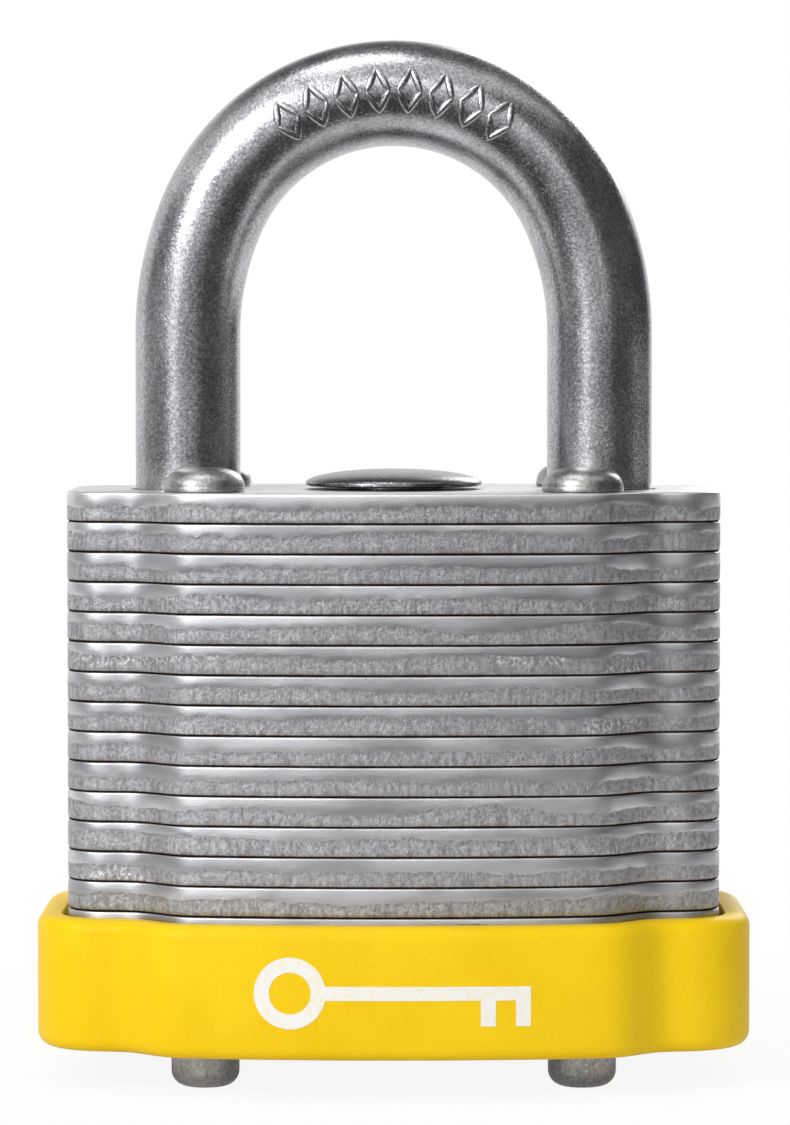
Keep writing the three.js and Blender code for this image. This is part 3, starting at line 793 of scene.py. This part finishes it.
# %% [markdown]
# ## The shackle
#
# The shackle is one round bar. Its line is made of arcs: a crown, and a flatter arc each side that
# eases it into the straight legs. Rings are set square to that line, and the notches for the bolts,
# the heel's groove and the ends' bevels are cut afterwards.

# %% Bend the bar
SECTION_POINTS = 72
CROWN_EASE = 0.55 * MM
CROWN_DROP = 2.6 * MM
heel_end = shackle_low[2]
crown_top = shackle_high[2] - BAR_RADIUS - 0.01 * MM
crown_radius = LEG_X - CROWN_EASE
crown_z = crown_top - crown_radius
straight_top = crown_z - CROWN_DROP


def arc(cx, cz, radius, start, end, steps):
    """Points of an arc in the shackle's plane, with both ends."""
    angles = [start + (end - start) * i / steps for i in range(steps + 1)]
    return [(cx + radius * math.cos(a), cz + radius * math.sin(a)) for a in angles]


def bar_line(toe_end):
    """The middle line of the bar from the end of the heel to the end of the toe."""
    squares = LEG_X**2 + CROWN_DROP**2 - crown_radius**2
    side_radius = squares / (2 * CROWN_EASE)
    side_x = LEG_X - side_radius
    turn = math.atan2(crown_z - straight_top, -side_x)
    side = arc(side_x, straight_top, side_radius, 0, turn, 14)
    crown = arc(0, crown_z, crown_radius, turn, math.pi / 2, 56)
    right = side + crown[1:]
    left = [(-x, z) for x, z in right[:-1]]
    heel = [(-LEG_X, heel_end + (straight_top - heel_end) * i / 10) for i in range(10)]
    toe = [(LEG_X, straight_top + (toe_end - straight_top) * i / 8) for i in range(1, 9)]
    return heel + left + right[::-1] + toe


def bar_rings(line):
    """A ring of points square to the line at each of its points."""
    rings = []
    for i, (x, z) in enumerate(line):
        a, b = line[max(i - 1, 0)], line[min(i + 1, len(line) - 1)]
        length = math.dist(a, b)
        side = ((b[1] - a[1]) / length, (a[0] - b[0]) / length)
        ring = []
        for k in range(SECTION_POINTS):
            angle = 2 * math.pi * k / SECTION_POINTS
            out = BAR_RADIUS * math.cos(angle)
            ring.append(Vector((x + side[0] * out, BAR_RADIUS * math.sin(angle), z + side[1] * out)))
        rings.append(ring)
    return rings


bolt_foot, bolt_top = bolt_low[2], bolt_high[2]
shackle = loft("fine_shackle", bar_rings(bar_line(toe_end)))
print("shackle rings:", len(bar_line(toe_end)), "toe ends at mm:", round(toe_end / MM, 2))

# %% [markdown]
# The toe leg has a notch that its bolt enters. The heel leg has a deeper notch, a flat below it that
# the other bolt rides on, and a turned groove that lets it swing round once it is up.

# %% Cut the notches, the groove and the bevels
LIFT = 12.0 * MM
TOE_NOTCH = 1.2 * MM
HEEL_NOTCH = 1.55 * MM
HEEL_FLAT = 0.35 * MM
BEVEL = 0.7 * MM
LEG_INNER = LEG_X - BAR_RADIUS


def leg_cut(side, depth, foot, top):
    """A cutter for the face of a leg that looks at the bolts."""
    near, far = sorted((side * (LEG_INNER - OVER), side * (LEG_INNER + depth)))
    return slab(near, far, -4 * MM, 4 * MM, foot, top)


def collar(x, z0, z1, neck, end_neck):
    """A cutter that leaves a neck, straight or tapered, on an upright leg."""
    wide = BAR_RADIUS + OVER
    ring = drill(wide, z0, z1, x)
    cut(ring, [turned("core", [(end_neck, z0 - OVER / 100), (neck, z1 + OVER / 100)], x)])
    return ring


notch_foot, notch_top = bolt_foot - NOTCH_GAP, bolt_top + NOTCH_GAP
ring_foot, ring_top = notch_foot - LIFT, notch_top - LIFT
groove_neck = BAR_RADIUS - HEEL_NOTCH
bevel_neck = BAR_RADIUS - BEVEL
cut(shackle, [
    leg_cut(1, TOE_NOTCH, notch_foot, notch_top),
    leg_cut(-1, HEEL_NOTCH, notch_foot, notch_top),
    leg_cut(-1, HEEL_FLAT, ring_foot, notch_top),
    collar(-LEG_X, ring_foot, ring_top, groove_neck, groove_neck),
    collar(LEG_X, toe_end, toe_end + BEVEL, BAR_RADIUS, bevel_neck),
    collar(-LEG_X, heel_end, heel_end + BEVEL, BAR_RADIUS, bevel_neck),
])
print("shackle faces after the cuts:", len(shackle.data.polygons))

# %% [markdown]
# The die that bends the bar also presses a row of eight plain lozenges on the front of the crown. Each
# is four thin ridges, laid on the skin of the bar and joined to it.

# %% Raise the row of lozenges on the crown
LOZENGES = 8
LOZENGE_SPREAD = math.radians(32)
LOZENGE_HALF = (0.70 * MM, 1.35 * MM)
RIDGE_SIZE = (0.24 * MM, 0.17 * MM, 0.84 * MM)


def ridge(angle, side, rise):
    """One thin ridge: the side of a lozenge to the left or right, above or below its middle."""
    deselect()
    bpy.ops.mesh.primitive_uv_sphere_add(segments=16, ring_count=10, radius=1)
    bead = bpy.context.object
    bead.scale = RIDGE_SIZE
    up = rise * LOZENGE_HALF[1] / 2
    turn = angle + side * LOZENGE_HALF[0] / 2 / crown_radius
    slope = math.atan2(LOZENGE_HALF[0], LOZENGE_HALF[1])
    lift = math.asin(up / BAR_RADIUS)
    bead.rotation_euler = (-lift, turn - side * rise * slope, 0)
    reach = crown_radius + up
    depth = BAR_RADIUS * math.cos(lift)
    bead.location = (reach * math.sin(turn), -depth, crown_z + reach * math.cos(turn))
    bpy.ops.object.transform_apply(location=True, rotation=True, scale=True)
    return bead


for number in range(LOZENGES):
    middle = LOZENGE_SPREAD * (2 * number / (LOZENGES - 1) - 1)
    for side in (-1, 1):
        for rise in (-1, 1):
            bead = ridge(middle, side, rise)
            apply_modifier(shackle, "BOOLEAN", object=bead, operation="UNION", solver="MANIFOLD")
            bpy.data.objects.remove(bead)
smooth(shackle, 30)
dress(shackle, SHACKLE_STEEL, "shackle", "shackle_steel", "shackle")
print("lozenges:", LOZENGES, "shackle faces:", len(shackle.data.polygons))

# %% [markdown]
# ## The bumper
#
# The bumper is a moulded ring that follows the plan at a small distance, with soft edges inside and
# out and a rib that snaps into the groove of the smaller plate. The skin is raised up the outside,
# over the lip and down the inside, and then its two ends are joined.

# %% Mould the bumper
bumper_low, bumper_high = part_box("bumper")
groove_low, groove_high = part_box("bumper_groove_plate")
BUMPER_POINTS = 560
WALL_OUT = bumper_high[0] - HALF_WIDTH - 0.05 * MM
WALL_IN = 0.3 * MM
RIB_REACH = 0.35 * MM
RIB_GAP = 0.15 * MM
EDGE_FOOT = 0.85 * MM
EDGE_TOP = 0.75 * MM
WELD = 0.002 * MM


def rounded(out, z, size, turn, steps=6):
    """The sections of a round edge: turn is 1 for the foot and -1 for the top."""
    sections = []
    for i in range(steps + 1):
        angle = math.pi / 2 * i / steps
        if turn > 0:
            sections.append((out - size * (1 - math.sin(angle)), z + size * (1 - math.cos(angle))))
        else:
            sections.append((out - size * (1 - math.cos(angle)), z - size * (1 - math.sin(angle))))
    return sections


def bumper_sections():
    """Distance out from the plan and height of each ring of the skin."""
    foot, top = bumper_low[2], bumper_high[2]
    rib_foot, rib_top = groove_low[2] + RIB_GAP, groove_high[2] - RIB_GAP
    outside = rounded(WALL_OUT, foot, EDGE_FOOT, 1) + rounded(WALL_OUT, top, EDGE_TOP, -1)
    lip = [(WALL_IN + 0.18 * MM, top), (WALL_IN + 0.05 * MM, top - 0.05 * MM)]
    lip.append((WALL_IN, top - 0.18 * MM))
    rib = [(WALL_IN, rib_top), (-RIB_REACH, rib_top), (-RIB_REACH, rib_foot), (WALL_IN, rib_foot)]
    inside = [(WALL_IN, foot + 0.18 * MM), (WALL_IN + 0.05 * MM, foot + 0.05 * MM)]
    inside.append((WALL_IN + 0.18 * MM, foot))
    return outside + lip + rib + inside


def close_ring(piece):
    """Opens the two flat ends of a lofted skin and welds them to each other."""
    only(piece)
    bpy.ops.object.mode_set(mode="EDIT")
    mesh = bmesh.from_edit_mesh(piece.data)
    for face in mesh.faces:
        face.select = len(face.verts) > 4
    bmesh.update_edit_mesh(piece.data)
    bpy.ops.mesh.delete(type="ONLY_FACE")
    bpy.ops.mesh.select_all(action="SELECT")
    bpy.ops.mesh.remove_doubles(threshold=WELD)
    face_outwards()


sections = bumper_sections()
rings = [[Vector((x, y, z)) for x, y in plan(out, BUMPER_POINTS)] for out, z in sections]
bumper = loft("fine_bumper", rings + rings[:1])
close_ring(bumper)
smooth(bumper, 40)
dress(bumper, YELLOW_PLASTIC, "body", "bumper_plastic", "bumper")
print("bumper sections:", len(sections), "faces:", len(bumper.data.polygons))

# %% [markdown]
# ## The sign on the bumper
#
# A plain white key is printed on the front, where a sign would be: a ring, a stem and two teeth. It
# is drawn flat, cut into narrow strips so that it can bend, and laid on the bowed front.

# %% Print the key sign
SIGN_Z = (bumper_low[2] + bumper_high[2]) / 2 + 0.1 * MM
INK_THICKNESS = 0.03 * MM
RING_X = -6.2 * MM
RING_OUT = 2.15 * MM
RING_IN = 1.25 * MM
STEM_HALF = 0.42 * MM
STEM_END = 8.2 * MM
TOOTH = 1.55 * MM


def front_of(x):
    """How far forward the bumper's front lies at a place along its width."""
    start = SHOULDER_START + 0.43 * WALL_OUT
    return -(HALF_DEPTH + WALL_OUT - FACE_BOW * (x / start) ** 2)


def flat_drum(radius, x, count=72):
    """A round plug that lies along Y, for the key's ring."""
    ring = [(x + radius * math.cos(2 * math.pi * i / count),
             SIGN_Z + radius * math.sin(2 * math.pi * i / count)) for i in range(count)]
    ends = [[Vector((px, y, pz)) for px, pz in ring] for y in (0.0, INK_THICKNESS)]
    return loft("drum", ends)


def key_sign():
    """The key's outline as one thin flat solid."""
    sign = flat_drum(RING_OUT, RING_X)
    stem_start = RING_X + RING_OUT - 0.3 * MM
    bars = [(stem_start, STEM_END, -STEM_HALF, STEM_HALF)]
    for x in (STEM_END - 0.9 * MM, STEM_END - 3.0 * MM):
        bars.append((x, x + 0.9 * MM, -TOOTH - STEM_HALF, STEM_HALF))
    for x0, x1, z0, z1 in bars:
        bar = slab(x0, x1, 0.0, INK_THICKNESS, SIGN_Z + z0, SIGN_Z + z1)
        apply_modifier(sign, "BOOLEAN", object=bar, operation="UNION", solver="EXACT")
        bpy.data.objects.remove(bar)
    hole = flat_drum(RING_IN, RING_X)
    for vertex in hole.data.vertices:
        vertex.co.y = vertex.co.y * 3 - INK_THICKNESS
    cut(sign, [hole])
    return sign


def strips(piece, step):
    """Slices a flat piece across X, so that it can bend."""
    low = min(v.co.x for v in piece.data.vertices)
    high = max(v.co.x for v in piece.data.vertices)
    only(piece)
    bpy.ops.object.mode_set(mode="EDIT")
    x = low + step
    while x < high - step / 4:
        bpy.ops.mesh.select_all(action="SELECT")
        bpy.ops.mesh.bisect(plane_co=(x, 0, 0), plane_no=(1, 0, 0))
        x += step
    bpy.ops.object.mode_set(mode="OBJECT")


sign = key_sign()
strips(sign, 0.5 * MM)
for vertex in sign.data.vertices:
    vertex.co.y = front_of(vertex.co.x) - vertex.co.y
only(sign)
bpy.ops.object.mode_set(mode="EDIT")
face_outwards()
sign.name = sign.data.name = "printed_key_sign"
smooth(sign, 30)
dress(sign, WHITE_INK, "body", "bumper_plastic")
print("sign faces:", len(sign.data.polygons))

# %% [markdown]
# ## The plug
#
# The plug is what the key turns. Its face shows in the hole of the foot plate, with a warded keyway.
# It is turned with its flange and the clip's groove, and then the keyway, the cam's slot and the five
# pin holes are cut.

# %% Turn the plug and cut its keyway
plug_low, plug_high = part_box("plug")
PLUG_RADIUS = 4.5 * MM
FLANGE_RADIUS = 5.2 * MM
FLANGE_HEIGHT = 1.2 * MM
clip_low, clip_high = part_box("plug_clip")
CLIP_GROOVE_RADIUS = 3.7 * MM
TONGUE_DEPTH = 1.8 * MM
TONGUE_HALF = 1.2 * MM
TONGUE_REACH = 6 * MM
PIN_HOLE = 1.35 * MM
KEYWAY_WIDTH = 1.5 * MM
KEYWAY_FOOT, KEYWAY_HEAD = -3.9 * MM, 3.2 * MM
WARD_STEPS = (0.35 * MM, -0.3 * MM, 0.2 * MM)


def plug_profile():
    """The plug from its face up to the end that turns the cam."""
    flange = foot_high[2] + 0.12 * MM
    groove = (clip_low[2] - 0.1 * MM, clip_high[2] + 0.1 * MM)
    return [
        (PLUG_RADIUS - 0.35 * MM, plug_low[2]),
        (PLUG_RADIUS - 0.10 * MM, plug_low[2] + 0.08 * MM),
        (PLUG_RADIUS, plug_low[2] + 0.30 * MM),
        (PLUG_RADIUS, flange),
        (FLANGE_RADIUS, flange),
        (FLANGE_RADIUS, flange + FLANGE_HEIGHT),
        (PLUG_RADIUS, flange + FLANGE_HEIGHT),
        (PLUG_RADIUS, groove[0]),
        (CLIP_GROOVE_RADIUS, groove[0]),
        (CLIP_GROOVE_RADIUS, groove[1]),
        (PLUG_RADIUS, groove[1]),
        (PLUG_RADIUS, plug_high[2]),
    ]


def keyway_cutters(top):
    """One cutter for each stretch between two wards, with the pins' side towards -X."""
    rise = (KEYWAY_HEAD - KEYWAY_FOOT) / len(WARD_STEPS)
    cutters = []
    for i, step in enumerate(WARD_STEPS):
        near, far = -(KEYWAY_FOOT + i * rise), -(KEYWAY_FOOT + (i + 1) * rise)
        half = KEYWAY_WIDTH / 2
        lap = 0.02 * MM
        cutters.append(slab(far - lap, near + lap, step - half, step + half, plug_low[2] - OVER, top))
    return cutters


def pin_cutters():
    """One cutter along X for each key pin."""
    cutters = []
    for number in range(1, 6):
        pin_low, pin_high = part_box(f"key_pin_{number}")
        z = (pin_low[2] + pin_high[2]) / 2
        hole = drill(PIN_HOLE, -PLUG_RADIUS - OVER, -0.3 * MM, count=32)
        for vertex in hole.data.vertices:
            x, y, length = vertex.co
            vertex.co = (length, y, z - x)
        cutters.append(hole)
    return cutters


plug = turned("fine_plug", plug_profile(), count=96)
slot_foot = plug_high[2] - TONGUE_DEPTH
slot_top = plug_high[2] + OVER
tongue = slab(-TONGUE_REACH, TONGUE_REACH, -TONGUE_HALF, TONGUE_HALF, slot_foot, slot_top)
cut(plug, [tongue] + keyway_cutters(slot_foot + 0.5 * MM) + pin_cutters())
smooth(plug, 30)
dress(plug, BRASS, "plug", "plug_brass", "plug")
print("plug faces:", len(plug.data.polygons))

# %% [markdown]
# ## Pieces that keep their frame shape
#
# The pieces inside the stack have the right shapes already, so they only get their finishes.

# %% Finish the inner pieces
BRASS_PIECES = ("bolt_toe", "bolt_heel", "key_pin", "driver_pin", "pin_cover", "cylinder_housing")

for name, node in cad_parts.items():
    if "spring" in name or name == "plug_clip":
        finish = SPRING_WIRE
    elif name.startswith(BRASS_PIECES):
        finish = BRASS
    elif name == "cam":
        finish = CAP_STEEL
    else:
        continue
    node.data.materials.clear()
    node.data.materials.append(finish)
print("inner pieces finished")

# %% [markdown]
# ## The pin springs
#
# When a key lifts the pins, each driver pin pushes its spring together against the cover strip. Here
# each spring is only given a mesh of its own, copied from the frame's.

# %% Give each pin spring a mesh of its own
for number in range(1, 6):
    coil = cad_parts[f"pin_spring_{number}"]
    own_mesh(coil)

# %% [markdown]
# ## Floor, world and lights
#
# The floor and the world look white to the camera and to reflections, and light the padlock softly.
# Close to the padlock the floor keeps its own shadow, which the rivets' tails mirror.
# Grey cards stand round the padlock, as in a studio, and only reflections see them, so that the round
# steel shows dark bands between its highlights.


# %% Lay the floor
def floor_finish():
    """White to the camera and in reflections, and shadowed softly near the padlock."""
    finish = Finish("studio floor", base_color=(0.86, 0.86, 0.86, 1), roughness=0.9)
    finish.shader.inputs["Specular IOR Level"].default_value = 0.0
    away = finish.node("VectorMath", {"operation": "LENGTH"}, {0: finish.place()}, output="Value")
    path = finish.tree.nodes.new("ShaderNodeLightPath")
    camera_ray = Signal(finish, path.outputs["Is Camera Ray"])
    glossy_ray = Signal(finish, path.outputs["Is Glossy Ray"])
    looked_at = camera_ray * finish.between(away, 30.0, 80.0, 0.91, 1.0)
    mirrored = glossy_ray * finish.between(away, 40.0, 90.0, 0.25, 1.0)
    share = finish.node("Math", {"operation": "MAXIMUM"}, {0: looked_at, 1: mirrored})
    white = finish.node("Emission", {}, {"Strength": 1.0})
    shaded = Signal(finish, finish.shader.outputs[0])
    finish.show(finish.node("MixShader", {}, {0: share, 1: shaded, 2: white}))
    return finish.material


deselect()
bpy.ops.mesh.primitive_plane_add(size=6, location=(0, 0, 0))
floor = bpy.context.object
floor.name = "studio_floor"
floor.data.materials.append(floor_finish())
print("floor laid")

# %% [markdown]
# The world is white where it is looked at or mirrored, and weaker where it lights the padlock.

# %% Light the world
WORLD_LEVEL = 0.36

world = bpy.data.worlds.new("studio world")
bpy.context.scene.world = world
world.use_nodes = True
tree = world.node_tree
back = tree.nodes["Background"]
path = tree.nodes.new("ShaderNodeLightPath")
seen = tree.nodes.new("ShaderNodeMath")
seen.operation = "MAXIMUM"
tree.links.new(path.outputs["Is Camera Ray"], seen.inputs[0])
tree.links.new(path.outputs["Is Glossy Ray"], seen.inputs[1])
level = tree.nodes.new("ShaderNodeMapRange")
level.inputs["To Min"].default_value = WORLD_LEVEL
tree.links.new(seen.outputs[0], level.inputs["Value"])
tree.links.new(level.outputs[0], back.inputs["Strength"])
back.inputs["Color"].default_value = (1, 1, 1, 1)
print("world lit")

# %% [markdown]
# Four soft lamps give a plain, even light, mostly from the front left. The card overhead fades out
# towards its rim, because the flat top plate would mirror a hard edge.

# %% Hang the lamps and stand the cards
AIM_POINT = Vector((0, 0, 30 * MM))


def aim(thing):
    """Turns a lamp or card so that it faces the middle of the padlock."""
    thing.rotation_euler = (AIM_POINT - thing.location).to_track_quat("-Z", "Y").to_euler()


def lamp(name, place, width, height, power):
    """A soft box that faces the padlock."""
    deselect()
    bpy.ops.object.light_add(type="AREA", location=place)
    light = bpy.context.object
    light.name = name
    light.data.shape = "RECTANGLE"
    light.data.size, light.data.size_y = width, height
    light.data.energy = power
    aim(light)


def feather(grey, glow):
    """Lets a card fade out towards its rim, so that no hard edge is mirrored."""
    point = grey.node("TexCoord", output="Object")
    spread = grey.node("VectorMath", {"operation": "LENGTH"}, {0: point}, output="Value")
    fade = grey.between(spread, 0.15, 0.5)
    clear = grey.node("BsdfTransparent")
    return grey.node("MixShader", {}, {0: fade, 1: glow, 2: clear})


def card(name, place, width, height, level, level_up=False, soft=False):
    """A grey card that only reflections see."""
    deselect()
    bpy.ops.mesh.primitive_plane_add(size=1, location=place)
    board = bpy.context.object
    board.name = name
    board.scale = (width, height, 1)
    if not level_up:
        aim(board)
    grey = Finish(name + " grey")
    glow = grey.node("Emission", {}, {"Color": (level, level, level * 1.03, 1)})
    grey.show(feather(grey, glow) if soft else glow)
    board.data.materials.append(grey.material)
    for kind in ("camera", "diffuse", "shadow", "transmission"):
        setattr(board, "visible_" + kind, False)


lamp("key_lamp", (-0.36, -0.42, 0.36), 0.19, 0.24, 2.2)
lamp("fill_lamp", (-0.06, -0.65, 0.30), 0.30, 0.20, 0.5)
lamp("top_lamp", (-0.10, -0.05, 0.60), 0.30, 0.20, 0.7)
lamp("back_lamp", (0.22, 0.52, 0.34), 0.30, 0.30, 1.4)
card("right_flag", (0.44, -0.26, 0.12), 0.76, 0.90, 0.11)
card("front_flag", (0.15, -0.50, -0.01), 0.36, 0.15, 0.05)
card("side_flag", (0.52, 0.20, 0.12), 0.62, 0.90, 0.10)
card("left_card", (-0.52, -0.12, 0.05), 0.62, 0.50, 0.30)
card("strip_box", (-0.26, -0.45, 0.03), 0.11, 0.20, 2.6)
card("back_card", (-0.10, 0.50, -0.02), 1.00, 0.05, 0.30)
card("overhead_flag", (0.0, 0.24, 0.50), 1.60, 1.00, 0.16, soft=True)
card("front_grey", (-0.16, -0.62, 0.19), 0.50, 0.22, 0.60)
card("low_flag", (0.05, -0.30, 0.0006), 0.80, 0.50, 0.10, level_up=True)
print("lamps and cards placed")

# %% Plain colour settings
bpy.context.scene.view_settings.view_transform = "Standard"
